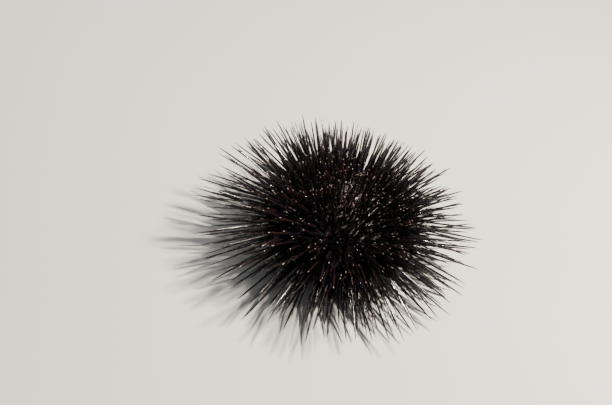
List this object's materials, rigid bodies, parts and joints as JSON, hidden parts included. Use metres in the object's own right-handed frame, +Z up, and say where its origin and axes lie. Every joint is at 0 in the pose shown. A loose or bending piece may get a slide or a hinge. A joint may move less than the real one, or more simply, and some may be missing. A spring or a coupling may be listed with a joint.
{
  "type": "purple sea urchin",
  "caption": "Life-size purple sea urchin: a domed round test bristling with long tapered dark spines, standing on its lower spines.",
  "frame": {"origin": "on the floor, under the middle of the box that holds the spread of spines", "axes": "+Z up through the apical disc, mouth towards -Z; -Y is the side that faces the viewer of the picture; +X is the picture's right, and the spines are longest towards -X and -Y and shortest towards +Y"},
  "size_m": [0.1114, 0.101, 0.0456],
  "materials": {
    "spiny_skin": "near-black violet-brown calcite spines and thin skin, with a satin sheen",
    "apical_skin": "dark violet-brown skin over small plates, satin",
    "mouth_skin": "soft brown-violet skin, moist",
    "teeth": "off-white calcite teeth, satin"
  },
  "bodies": {
    "root": {"ambulacrum_1": "spiny_skin", "ambulacrum_2": "spiny_skin", "ambulacrum_3": "spiny_skin", "ambulacrum_4": "spiny_skin", "ambulacrum_5": "spiny_skin", "interambulacrum_1": "spiny_skin", "interambulacrum_2": "spiny_skin", "interambulacrum_3": "spiny_skin", "interambulacrum_4": "spiny_skin", "interambulacrum_5": "spiny_skin", "apical_disc": "apical_skin", "peristome": "mouth_skin", "tooth_1": "teeth", "tooth_2": "teeth", "tooth_3": "teeth", "tooth_4": "teeth", "tooth_5": "teeth"}
  },
  "joints": []
}
